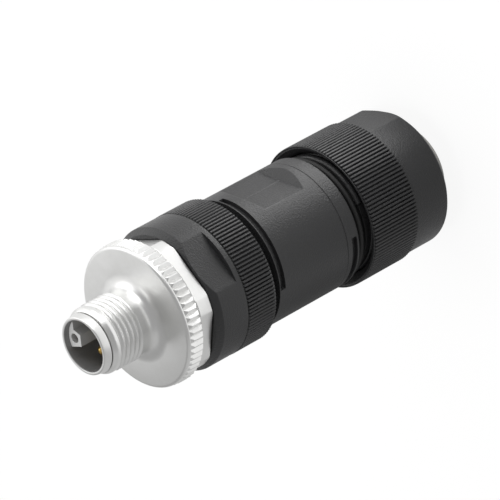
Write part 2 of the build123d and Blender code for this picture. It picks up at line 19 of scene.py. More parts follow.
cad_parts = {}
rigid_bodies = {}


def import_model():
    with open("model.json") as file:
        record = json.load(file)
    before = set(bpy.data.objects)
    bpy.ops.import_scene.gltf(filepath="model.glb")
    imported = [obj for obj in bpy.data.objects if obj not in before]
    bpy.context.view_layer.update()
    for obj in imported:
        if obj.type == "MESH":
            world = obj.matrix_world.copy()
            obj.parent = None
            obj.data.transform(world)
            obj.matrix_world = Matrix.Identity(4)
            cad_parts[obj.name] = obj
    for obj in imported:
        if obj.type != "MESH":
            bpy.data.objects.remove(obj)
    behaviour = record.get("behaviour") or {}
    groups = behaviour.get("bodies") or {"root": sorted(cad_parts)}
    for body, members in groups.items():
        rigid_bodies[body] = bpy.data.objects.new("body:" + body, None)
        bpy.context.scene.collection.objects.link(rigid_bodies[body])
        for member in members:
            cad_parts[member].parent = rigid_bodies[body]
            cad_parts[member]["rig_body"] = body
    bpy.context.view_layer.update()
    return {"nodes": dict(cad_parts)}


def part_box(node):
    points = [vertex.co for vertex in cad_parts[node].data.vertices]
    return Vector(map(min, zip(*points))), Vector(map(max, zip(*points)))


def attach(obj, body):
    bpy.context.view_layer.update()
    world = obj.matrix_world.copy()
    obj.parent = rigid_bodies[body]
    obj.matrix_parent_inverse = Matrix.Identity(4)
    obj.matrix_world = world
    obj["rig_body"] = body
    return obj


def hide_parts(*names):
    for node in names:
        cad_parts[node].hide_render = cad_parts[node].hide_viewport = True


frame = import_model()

LOG = logging.getLogger("connector")

MM = 0.001  # one millimetre, in metres
QUARTER_TURN = math.pi / 2
NO_LIMIT = 1e6  # a radius beyond every piece
HAIR = 0.01  # the least step that keeps two rows of a mesh apart
MERGED = 1e-7  # points nearer than this, in metres, are one

# Radii that break the edges of the pieces, from crisp to round.
CRISP, BROKEN, EASED, ROUND = 0.05, 0.1, 0.2, 0.25
# Half angles between which a corner is rounded, and the share of a side it may take up.
LEAST_CORNER, MOST_CORNER, SIDE_SHARE = math.radians(5), math.radians(88), 0.45
# Edges that turn by more degrees than this stay sharp, on turned pieces and on ribs.
TURNED_SHARP, RIB_SHARP = 28.0, 35.0
# How far the foot of a rib sits in the body that carries it.
RIB_SUNK = 0.12
# A thread's section: height over its depth, foot and top over its pitch.
RIDGE_SECTION = (("Depth", 2.0), ("Pitch", 1.62), ("Pitch", 0.16))
THREAD_SIZES = (
    "Root Radius",
    "Pitch",
    "Turns",
    "Depth",
    "Start Height",
    "Stripe",
    "Stripe Half Width",
)
# Steps in one turn of a thread, the share of its length that fades, and what is left there.
THREAD_STEPS, THREAD_FADE, THREAD_FADED = 120, 0.05, 0.02
# Azimuth and half width of a worn stripe that is too narrow to show.
NO_STRIPE = (0.0, math.degrees(0.001))
# Noise values between which the colour reaches its patches, and the gloss its extremes.
PATCH_FULL, GLOSS_RANGE = 0.75, (0.3, 0.7)
# How far red, green and blue light go inside pale nylon, as shares of a millimetre.
NYLON_REACH = (1.0, 0.9, 0.8)

Pair = tuple[float, float]  # two sizes that belong together
Point = tuple[float, float]  # one point of an outline or a section
Place = tuple[float, float, float]
Trim = Callable[[np.ndarray, float], np.ndarray]
Tree = bpy.types.NodeTree
Node = bpy.types.Node
Source = Node | bpy.types.NodeSocket  # what an input can be linked from
Piece = bpy.types.Object


def linear(hex_colour: str) -> tuple[float, float, float, float]:
    """Turn an sRGB colour into the linear one that shaders take.

    Args:
        hex_colour: a hash sign and six hex digits.

    Returns:
        Red, green, blue and an alpha of one.
    """
    parts = [int(hex_colour[k : k + 2], 16) / 255 for k in (1, 3, 5)]
    turned = [c / 12.92 if c <= 0.04045 else ((c + 0.055) / 1.055) ** 2.4 for c in parts]
    return (turned[0], turned[1], turned[2], 1.0)


def feed(tree: Tree, node: Node, inputs: dict) -> None:
    """Set a node's inputs or link them.

    Args:
        tree: the node's tree.
        node: the node.
        inputs: sockets by name or number, each with a value, an output to link from, or a node
            whose first output in use is linked.
    """
    for key, value in inputs.items():
        if isinstance(value, Node):
            value = next(output for output in value.outputs if output.enabled)
        if isinstance(value, bpy.types.NodeSocket):
            tree.links.new(value, node.inputs[key])
        else:
            node.inputs[key].default_value = value


def add_node(tree: Tree, kind: str, inputs: Optional[dict] = None, **settings: object) -> Node:
    """Add one node, with its settings and what goes into it.

    Args:
        tree: the material's, world's or geometry's node tree.
        kind: the node's type name.
        inputs: what goes into its sockets, as feed takes it.
        settings: properties of the node.

    Returns:
        The new node.
    """
    node = tree.nodes.new(kind)
    for key, value in settings.items():
        setattr(node, key, value)
    feed(tree, node, inputs or {})
    return node


def millimetres_of_object(tree: Tree) -> Source:
    """Give the object coordinates in millimetres, so that pattern sizes are real ones.

    Args:
        tree: the material's node tree.

    Returns:
        The node that holds the place.
    """
    place = add_node(tree, "ShaderNodeTexCoord").outputs["Object"]
    return add_node(tree, "ShaderNodeMapping", {"Vector": place, "Scale": (1 / MM,) * 3})


@dataclass(frozen=True)
class Noise:
    """A pattern in a finish: the size of its grains in millimetres and how it is detailed."""

    size: float
    detail: float
    roughness: float


@dataclass(frozen=True)
class Finish:
    """What every finish has: patches of a second colour, uneven gloss and a fine relief.

    One material is made of it, the first time that a piece asks for it.
    """

    name: str
    colour: str
    roughness: float
    patches: str
    patch_share: float
    patch_from: float
    gloss_spread: float
    clouds: Noise
    grain: Noise
    relief: float

    def material(self) -> bpy.types.Material:
        """Give the material, making it the first time.

        Returns:
            The material that has the finish's name.
        """
        found = bpy.data.materials.get(self.name)
        if found is not None:
            return found
        made = bpy.data.materials.new(self.name)
        made.use_nodes = True
        tree = made.node_tree
        tree.nodes.clear()
        shader = add_node(
            tree,
            "ShaderNodeBsdfPrincipled",
            {"Base Color": linear(self.colour), "Roughness": self.roughness},
        )
        self.dress(tree, shader)
        add_node(tree, "ShaderNodeOutputMaterial", {"Surface": shader})
        return made

    def dress(self, tree: Tree, shader: Node) -> None:
        """Cloud the colour and the gloss, and give the surface its relief.

        Args:
            tree: the material's node tree.
            shader: its Principled shader.
        """
        place = millimetres_of_object(tree)
        cloud, grain = (
            add_node(
                tree,
                "ShaderNodeTexNoise",
                {
                    "Vector": place,
                    "Scale": 1 / noise.size,
                    "Detail": noise.detail,
                    "Roughness": noise.roughness,
                },
            )
            for noise in (self.clouds, self.grain)
        )
        duller, glossier = self.roughness + self.gloss_spread, self.roughness - self.gloss_spread
        ranges = (
            (self.patch_from, PATCH_FULL, 0.0, self.patch_share),
            (*GLOSS_RANGE, glossier, duller),
        )
        share, rough = (
            add_node(
                tree,
                "ShaderNodeMapRange",
                {"Value": cloud, "From Min": a, "From Max": b, "To Min": least, "To Max": most},
            )
            for a, b, least, most in ranges
        )
        colour = add_node(
            tree,
            "ShaderNodeMix",
            {"Factor": share, 6: linear(self.colour), 7: linear(self.patches)},
            data_type="RGBA",
        )
        bump = {"Strength": 1.0, "Distance": self.relief * MM, "Height": grain}
        relief = add_node(tree, "ShaderNodeBump", bump)
        feed(tree, shader, {"Base Color": colour, "Roughness": rough, "Normal": relief})


@dataclass(frozen=True)
class PlatedMetal(Finish):
    """Nickel, gold or zinc plate over a cast or turned body: a soft mirror with fine marks."""

    patches: str = "#d6d6d3"
    patch_share: float = 0.35
    patch_from: float = 0.35
    gloss_spread: float = 0.02
    clouds: Noise = Noise(3.5, 3.0, 0.6)
    grain: Noise = Noise(0.35, 4.0, 0.55)
    relief: float = 0.0015

    def dress(self, tree: Tree, shader: Node) -> None:
        """Make it a metal, clouded and with a fine cast grain.

        Args:
            tree: the material's node tree.
            shader: its Principled shader.
        """
        feed(tree, shader, {"Metallic": 1.0})
        super().dress(tree, shader)


@dataclass(frozen=True)
class MouldedPlastic(Finish):
    """Injection-moulded polyamide or rubber: dark, with the fine bloom of a spark-eroded mould.

    The grit is drawn 0.28 mm wide, because the real one is too fine to show.
    """

    patches: str = "#343435"
    patch_share: float = 0.25
    patch_from: float = 0.4
    gloss_spread: float = 0.03
    clouds: Noise = Noise(6.0, 5.0, 0.65)
    grain: Noise = Noise(0.28, 2.0, 0.5)
    relief: float = 0.085
    ior: float = 1.53
    soft_inside: float = 0.0

    def dress(self, tree: Tree, shader: Node) -> None:
        """Give it a plastic's gloss and soft inside, a slightly uneven colour and a fine grit.

        Args:
            tree: the material's node tree.
            shader: its Principled shader.
        """
        feed(tree, shader, {"IOR": self.ior})
        if self.soft_inside:
            reach = {"Subsurface Radius": NYLON_REACH, "Subsurface Scale": MM}
            feed(tree, shader, {"Subsurface Weight": self.soft_inside, **reach})
        super().dress(tree, shader)


# Satin nickel over a zinc casting: pale and soft, with a fine skin that breaks the highlights.
CAST_NICKEL = PlatedMetal("cast_nickel_plate", "#e8e8e7", 0.32)
# Nickel over turned brass: smoother, so the tube's rim shows a crisper light line.
TURNED_NICKEL = PlatedMetal("turned_nickel_plate", "#e4e4e3", 0.30, relief=0.0008)
# The tube's bore, left dull, with a darker grey that is painted shade in the cavity: it carries a
# soft grey gradient down into the cavity.
DULL_NICKEL_PAINTED_SHADE = PlatedMetal("dull_nickel_bore_painted_shade", "#a2a2a2", 0.62, "#969696")
# Gold over the contacts: the only warm colour, deep inside the shell.
GOLD_PLATE = PlatedMetal("gold_plate", "#ecc774", 0.22, "#d6a850", relief=0.0005)
# Zinc-plated steel of the terminal screws: duller and a little bluer than the nickel.
BRIGHT_ZINC = PlatedMetal("bright_zinc_plate", "#c8c9cb", 0.32, "#a9abad")
# Glass-filled black polyamide: dark grey in the light, with a grit that catches it in specks.
BLACK_POLYAMIDE = MouldedPlastic("black_polyamide", "#262627", 0.40, "#313132")
# The same resin from a smooth mould: the terminal block stays a plain dark grey, out of sight.
DARK_CARRIER = MouldedPlastic("dark_carrier_polyamide", "#2a2b2d", 0.5, relief=0.006)
# Light grey insert round the contacts: its key face stands out in the dark cavity.
GREY_POLYESTER = MouldedPlastic("grey_polyester", "#b6b6b5", 0.5, "#bebebd", relief=0.003)
# Matt black rubber of the seals, which swallows the light in the gaps.
SEAL_RUBBER = MouldedPlastic("seal_rubber", "#101010", 0.60, "#171717", relief=0.006, ior=1.50)
# Uncoloured polyamide of the clamp cage: a pale ring behind the black nut.
NATURAL_NYLON = MouldedPlastic(
    "natural_nylon", "#bdbcb6", 0.38, "#c6c5bf", relief=0.004, soft_inside=0.1
)


@dataclass(frozen=True)
class RibForm:
    """Form of one rib of a grip or tooth of a disc.

    Widths are shares of the spacing: the foot's, and the flank's at depths under the crest.
    Start and end give distances from the rib's ends, each with the share of its height that is
    left there. A pointed rib is cut off there, as by a cone, and another is pressed flat.
    """

    foot: float
    flank: tuple[Pair, ...]
    start: tuple[Pair, ...]
    end: tuple[Pair, ...]
    pointed: bool


class Law(Enum):
    """How the ribs of a knurl are cut: fine rounded ones or coarse pointed teeth."""

    FINE = RibForm(
        foot=0.96,
        flank=((0.18, 0.74), (0.0, 0.42)),
        start=((0.0, 0.35), (0.25, 1.0)),
        end=((0.25, 1.0), (0.0, 0.35)),
        pointed=False,
    )
    COARSE = RibForm(
        foot=0.97,
        flank=((0.09, 0.22), (0.02, 0.12), (0.0, 0.0)),
        start=((0.0, 0.18), (0.38, 0.83), (0.45, 1.0)),
        end=((0.75, 1.0), (0.62, 0.86), (0.10, 0.30)),
        pointed=True,
    )


@dataclass(frozen=True)
class Corner:
    """One corner of a turned outline, with the radius that breaks its edge."""

    radius: float
    height: float
    edge: float = 0.0


def softened(corners: Sequence[Corner], steps: int = 4) -> list[Point]:
    """Round the corners of a closed outline.

    Args:
        corners: the outline in order. One without an edge stays sharp.
        steps: how many chords make each rounded corner.

    Returns:
        The points of the rounded outline, as radius and height.
    """
    places = [Vector((corner.radius, corner.height)) for corner in corners]
    points: list[Point] = []
    for index, (corner, here) in enumerate(zip(corners, places)):
        before = places[index - 1] - here
        after = places[(index + 1) % len(places)] - here
        half = before.angle(after, math.pi) / 2 if corner.edge else 0.0
        if not LEAST_CORNER <= half <= MOST_CORNER:
            points.append((here.x, here.y))
            continue
        most = SIDE_SHARE * before.length, SIDE_SHARE * after.length
        reach = min(corner.edge / math.tan(half), *most)
        start = here + before.normalized() * reach
        end = here + after.normalized() * reach
        for k in range(steps + 1):
            t = k / steps
            bent = start * (1 - t) ** 2 + here * 2 * t * (1 - t) + end * t**2
            points.append((bent.x, bent.y))
    return points


def closer_rows(
    outline: Sequence[Point], low: float, high: float, step: float, outside: float
) -> list[Point]:
    """Divide the outer wall of an outline into closer rows between two heights.

    Args:
        outline: closed outline, as radius and height.
        low: lowest height that gets closer rows.
        high: highest such height.
        step: distance between the rows.
        outside: only points at this radius or more belong to the outer wall.

    Returns:
        The outline with the added points.
    """
    dense: list[Point] = []
    for index, (radius, height) in enumerate(outline):
        dense.append((radius, height))
        next_radius, next_height = outline[(index + 1) % len(outline)]
        if min(radius, next_radius) < outside or abs(next_height - height) < step:
            continue
        count = int(abs(next_height - height) / step)
        for k in range(1, count + 1):
            t = k / (count + 1)
            row = height + t * (next_height - height)
            if low <= row <= high:
                dense.append((radius + t * (next_radius - radius), row))
    return dense


def angle_between(azimuths: np.ndarray, centre: float) -> np.ndarray:
    """Give the signed difference of azimuths from a centre.

    Args:
        azimuths: the azimuths.
        centre: the azimuth that they are measured from.

    Returns:
        The differences, between -180 and 180 degrees.
    """
    return (azimuths - centre + 180) % 360 - 180


def flats(
    centres: Sequence[float], distance: float, low: float, high: float, reach: float = 75.0
) -> Trim:
    """Make the trim of flat faces cut on a round body.

    Args:
        centres: azimuths of the flats.
        distance: how far the flats lie from the axis.
        low: height where the flats begin.
        high: height where they end.
        reach: how many degrees to each side a flat is looked for.

    Returns:
        A function that limits the radius at each azimuth for one height.
    """

    def limit(azimuths: np.ndarray, height: float) -> np.ndarray:
        """Give the largest radius that the flats leave.

        Args:
            azimuths: the azimuths of one row.
            height: its height.

        Returns:
            One radius for each azimuth.
        """
        radii = np.full(len(azimuths), NO_LIMIT)
        if not low <= height <= high:
            return radii
        for centre in centres:
            turn = np.radians(angle_between(azimuths, centre))
            near = np.abs(turn) < math.radians(reach)
            radii[near] = np.minimum(radii[near], distance / np.cos(turn[near]))
        return radii

    return limit


def finished(name: str, mesh: bpy.types.Mesh, sharp: float) -> Piece:
    """Turn a mesh's faces outwards, smooth it and put it in the scene.

    Args:
        name: the object's name.
        mesh: the mesh, in metres.
        sharp: edges that turn by more than this many degrees stay sharp.

    Returns:
        The object that holds the mesh.
    """
    work = bmesh.new()
    work.from_mesh(mesh)
    bmesh.ops.remove_doubles(work, verts=work.verts, dist=MERGED)
    bmesh.ops.recalc_face_normals(work, faces=work.faces)
    work.to_mesh(mesh)
    work.free()
    mesh.shade_smooth()
    mesh.set_sharp_from_angle(angle=math.radians(sharp))
    made = bpy.data.objects.new(name, mesh)
    bpy.context.scene.collection.objects.link(made)
    return made


def lathe(name: str, outline: Sequence[Point], segments: int, trims: Sequence[Trim] = ()) -> Piece:
    """Turn a closed outline about the axis, with flats and pockets where the trims say.

    Args:
        name: the piece's name.
        outline: closed outline, as radius and height.
        segments: how many steps go round the axis.
        trims: functions that limit the radius by azimuth and height.

    Returns:
        A new mesh object in metres, smooth with sharp edges kept.
    """
    azimuths = np.arange(segments) * 360 / segments
    turns = np.radians(azimuths)
    around = np.arange(segments)
    following = (around + 1) % segments
    rows, faces = [], []
    for row, (radius, height) in enumerate(outline):
        radii = np.full(segments, radius)
        for trim in trims:
            radii = np.minimum(radii, trim(azimuths, height))
        level = np.full(segments, height)
        rows.append(np.column_stack((radii * np.cos(turns), radii * np.sin(turns), level)))
        lower = row * segments
        upper = ((row + 1) % len(outline)) * segments
        faces.append(
            np.column_stack((lower + around, lower + following, upper + following, upper + around))
        )
    points = np.concatenate(rows) * MM
    mesh = bpy.data.meshes.new(name)
    mesh.from_pydata(points.tolist(), [], np.concatenate(faces).tolist())
    return finished(name, mesh, TURNED_SHARP)


def cut_off(section: Sequence[Point], top: float) -> list[Point]:
    """Cut the top off a symmetrical section, with its points spread over the cut.

    Args:
        section: the section's points, as distance from the axis and sideways place.
        top: distance from the axis that stays.

    Returns:
        As many points as before.
    """
    half = sorted((out, side) for out, side in section if side >= 0)
    edge = float(np.interp(top, [out for out, _ in half], [side for _, side in half]))
    widest = max((side for out, side in half if out > top), default=0.0) or 1.0
    return [(top, edge * side / widest) if out > top else (out, side) for out, side in section]


def prism(name: str, section: Sequence[Point], stations: Sequence[Pair], pointed: bool) -> Piece:
    """Loft a cross-section along the axis, closed at both ends.

    Args:
        name: the piece's name.
        section: the section's points, as distance from the axis and sideways place.
        stations: heights, each with the share of the section's rise that it keeps.
        pointed: whether the rise is cut off there, as by a cone, or pressed flat.

    Returns:
        A closed solid that points outwards along the X axis.
    """
    foot = min(out for out, _ in section)
    rise = max(out for out, _ in section) - foot
    points = []
    for height, share in stations:
        if pointed:
            cut = cut_off(section, foot + rise * share)
        else:
            cut = [(foot + (out - foot) * share, side) for out, side in section]
        points += [(out * MM, side * MM, height * MM) for out, side in cut]
    count = len(section)
    faces = [list(range(count)), list(range(len(points) - count, len(points)))]
    for here in range(0, len(points) - count, count):
        above = here + count
        for k in range(count):
            n = (k + 1) % count
            faces.append([here + k, here + n, above + n, above + k])
    mesh = bpy.data.meshes.new(name)
    mesh.from_pydata(points, [], faces)
    return finished(name, mesh, RIB_SHARP)


def new_geometry_tree(name: str, sizes: dict[str, str]) -> Tree:
    """Start a geometry tree with its named inputs.

    Args:
        name: the tree's name.
        sizes: socket type by input name.

    Returns:
        The tree, with a geometry input and output.
    """
    tree = bpy.data.node_groups.new(name, "GeometryNodeTree")
    tree.interface.new_socket("Geometry", in_out="INPUT", socket_type="NodeSocketGeometry")
    for label, kind in sizes.items():
        tree.interface.new_socket(label, in_out="INPUT", socket_type=kind)
    tree.interface.new_socket("Geometry", in_out="OUTPUT", socket_type="NodeSocketGeometry")
    return tree


def end_tree(tree: Tree, shape: Source, material: Source) -> None:
    """Close a tree with Realize Instances and Set Material.

    Args:
        tree: the geometry tree.
        shape: the geometry to give out.
        material: the socket that holds the material.
    """
    real = add_node(tree, "GeometryNodeRealizeInstances", {"Geometry": shape})
    coat = add_node(tree, "GeometryNodeSetMaterial", {"Geometry": real, "Material": material})
    add_node(tree, "NodeGroupOutput", {"Geometry": coat})


def ring_tree() -> Tree:
    """Give the tree that repeats a piece evenly about the axis.

    Returns:
        The tree, made the first time.
    """
    found = bpy.data.node_groups.get("around_the_axis")
    if found is not None:
        return found
    tree = new_geometry_tree(
        "around_the_axis", {"Count": "NodeSocketInt", "Material": "NodeSocketMaterial"}
    )
    given = add_node(tree, "NodeGroupInput").outputs
    points = add_node(tree, "GeometryNodePoints", {"Count": given["Count"]})
    number = add_node(tree, "GeometryNodeInputIndex")
    step = add_node(tree, "ShaderNodeMath", {0: math.tau, 1: given["Count"]}, operation="DIVIDE")
    turned = add_node(tree, "ShaderNodeMath", {0: number, 1: step}, operation="MULTIPLY")
    turn = add_node(tree, "ShaderNodeCombineXYZ", {"Z": turned})
    copies = add_node(
        tree,
        "GeometryNodeInstanceOnPoints",
        {"Points": points, "Instance": given["Geometry"], "Rotation": turn},
    )
    end_tree(tree, copies, given["Material"])
    return tree


def thread_tree() -> Tree:
    """Give the tree that winds a thread's ridge, fading at its ends and at two side stripes.

    Returns:
        The tree, made the first time.
    """
    found = bpy.data.node_groups.get("thread_ridge")
    if found is not None:
        return found
    tree = new_geometry_tree(
        "thread_ridge",
        {**dict.fromkeys(THREAD_SIZES, "NodeSocketFloat"), "Material": "NodeSocketMaterial"},
    )
    given = add_node(tree, "NodeGroupInput").outputs
    turns = {0: given["Pitch"], 1: given["Turns"]}
    rise = add_node(tree, "ShaderNodeMath", turns, operation="MULTIPLY")
    helix = add_node(
        tree,
        "GeometryNodeCurveSpiral",
        {
            "Resolution": THREAD_STEPS,
            "Rotations": given["Turns"],
            "Start Radius": given["Root Radius"],
            "End Radius": given["Root Radius"],
            "Height": rise,
        },
    )
    lift = add_node(tree, "ShaderNodeCombineXYZ", {"Z": given["Start Height"]})
    placed = add_node(tree, "GeometryNodeSetPosition", {"Geometry": helix, "Offset": lift})
    upright = add_node(tree, "GeometryNodeSetCurveNormal", {"Curve": placed}, mode="Z_UP")
    # The ridge runs out over the first and the last twentieth of its length.
    along = add_node(tree, "GeometryNodeSplineParameter")
    back = add_node(tree, "ShaderNodeMath", {0: 1.0, 1: along}, operation="SUBTRACT")
    end = add_node(tree, "ShaderNodeMath", {0: along, 1: back}, operation="MINIMUM")
    run_out = add_node(
        tree,
        "ShaderNodeMapRange",
        {"Value": end, "From Max": THREAD_FADE, "To Min": THREAD_FADED, "To Max": 1.0},
    )
    # It is worn away at the stripe's azimuth and opposite it.
    here = add_node(tree, "GeometryNodeInputPosition")
    place = add_node(tree, "ShaderNodeSeparateXYZ", {"Vector": here}).outputs
    azimuth = add_node(tree, "ShaderNodeMath", {0: place["Y"], 1: place["X"]}, operation="ARCTAN2")
    off = add_node(tree, "ShaderNodeMath", {0: azimuth, 1: given["Stripe"]}, operation="SUBTRACT")
    limits = {1: QUARTER_TURN, 2: -QUARTER_TURN}
    folded = add_node(tree, "ShaderNodeMath", {0: off, **limits}, operation="WRAP")
    distance = add_node(tree, "ShaderNodeMath", {0: folded}, operation="ABSOLUTE")
    half_width = given["Stripe Half Width"]
    outer = add_node(tree, "ShaderNodeMath", {0: half_width, 1: 2.0}, operation="MULTIPLY")
    fade = add_node(
        tree,
        "ShaderNodeMapRange",
        {
            "Value": distance,
            "From Min": half_width,
            "From Max": outer,
            "To Min": THREAD_FADED,
            "To Max": 1.0,
        },
        interpolation_type="SMOOTHSTEP",
    )
    share = add_node(tree, "ShaderNodeMath", {0: run_out, 1: fade}, operation="MINIMUM")
    sized = add_node(tree, "GeometryNodeSetCurveRadius", {"Curve": upright, "Radius": share})
    # The section is a trapezoid centred on the root, so that half of its height stands out.
    height, foot, top = (
        add_node(tree, "ShaderNodeMath", {0: given[size], 1: part}, operation="MULTIPLY")
        for size, part in RIDGE_SECTION
    )
    section = add_node(
        tree,
        "GeometryNodeCurvePrimitiveQuadrilateral",
        {"Height": height, "Bottom Width": foot, "Top Width": top, "Offset": 0.0},
        mode="TRAPEZOID",
    )
    outwards = {"Geometry": section, "Rotation": (0.0, 0.0, QUARTER_TURN)}
    profile = add_node(tree, "GeometryNodeTransform", outwards)
    swept = add_node(
        tree,
        "GeometryNodeCurveToMesh",
        {"Curve": sized, "Profile Curve": profile, "Fill Caps": True},
    )
    end_tree(tree, swept, given["Material"])
    return tree


def grow(host: Piece, tree: Tree, sizes: dict[str, object]) -> Piece:
    """Run a geometry tree on an object and keep the result as its plain mesh.

    Args:
        host: the object that the tree works on.
        tree: the geometry tree.
        sizes: values of the tree's inputs by name.

    Returns:
        The host, with its new mesh and no modifier.
    """
    modifier = host.modifiers.new(tree.name, "NODES")
    modifier.node_group = tree
    for item in tree.interface.items_tree:
        if item.item_type == "SOCKET" and item.in_out == "INPUT" and item.name in sizes:
            modifier[item.identifier] = sizes[item.name]
    host.update_tag()
    graph = bpy.context.evaluated_depsgraph_get()
    result = bpy.data.meshes.new_from_object(host.evaluated_get(graph))
    host.modifiers.remove(modifier)
    host.data = result
    return host


def joined(name: str, pieces: Sequence[Piece]) -> Piece:
    """Join several objects into the first one.

    Args:
        name: the joined object's name.
        pieces: the objects, of which only the first stays.

    Returns:
        The first object with all the meshes.
    """
    whole = bmesh.new()
    for piece in pieces:
        whole.from_mesh(piece.data)
    first = pieces[0]
    mesh = bpy.data.meshes.new(name)
    whole.to_mesh(mesh)
    whole.free()
    for material in first.data.materials:
        mesh.materials.append(material)
    first.data = mesh
    first.name = name
    for piece in pieces[1:]:
        bpy.data.objects.remove(piece)
    return first


def knurl(
    count: int, root: float, crest: float, low: float, high: float, law: Law, finish: Finish
) -> Piece:
    """Make the ribs of a knurl or the teeth of a disc.

    Args:
        count: how many ribs go round.
        root: radius of the body between the ribs.
        crest: radius over the ribs.
        low: height where the ribs begin.
        high: height where they end.
        law: the form of one rib.
        finish: what they are made of.

    Returns:
        One object with all the ribs.
    """
    form = law.value
    half = math.pi * root / count
    right = [
        (root - RIB_SUNK, half),
        (root, form.foot * half),
        *((crest - depth, share * half) for depth, share in form.flank),
    ]
    section = [(out, -side) for out, side in right if side] + right[::-1]
    stations = [(low + run, share) for run, share in form.start]
    stations += [(high - run, share) for run, share in form.end]
    rib = prism("rib", section, stations, form.pointed)
    return grow(rib, ring_tree(), {"Count": count, "Material": finish.material()})


def ridge(
    finish: Finish,
    root: float,
    depth: float,
    pitch: float,
    start: float,
    length: float,
    stripe: Pair = NO_STRIPE,
) -> Piece:
    """Wind the ridge of a thread.

    Args:
        finish: what it is made of.
        root: radius under the ridge.
        depth: how far it stands out.
        pitch: height of one turn.
        start: height where it begins.
        length: height over which it winds.
        stripe: azimuth and half width of the stripe where it is worn smooth.

    Returns:
        The ridge as its own object.
    """
    host = bpy.data.objects.new("ridge", bpy.data.meshes.new("ridge"))
    bpy.context.scene.collection.objects.link(host)
    sizes = {
        "Root Radius": root * MM,
        "Pitch": pitch * MM,
        "Turns": length / pitch,
        "Depth": depth * MM,
        "Start Height": start * MM,
        "Stripe": math.radians(stripe[0]),
        "Stripe Half Width": math.radians(stripe[1]),
        "Material": finish.material(),
    }
    return grow(host, thread_tree(), sizes)


def dressed(piece: Piece, finish: Finish) -> Piece:
    """Give a piece one finish all over.

    Args:
        piece: the piece.
        finish: what it is made of.

    Returns:
        The same piece.
    """
    piece.data.materials.clear()
    piece.data.materials.append(finish.material())
    return piece


def stand_for(piece: Piece, node: str) -> None:
    """Let a piece replace the CAD node and ride on its body.

    Args:
        piece: the finished piece.
        node: the node that it stands for.
    """
    body = frame["nodes"][node]["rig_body"]
    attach(piece, body)
    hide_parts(node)
    LOG.info("%s replaces %s on %s", piece.name, node, body)


def span(node: str) -> Pair:
    """Give the heights between which a CAD node lies.

    Args:
        node: the node's name.

    Returns:
        Its lowest and its highest height.
    """
    low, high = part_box(node)
    return low.z / MM, high.z / MM


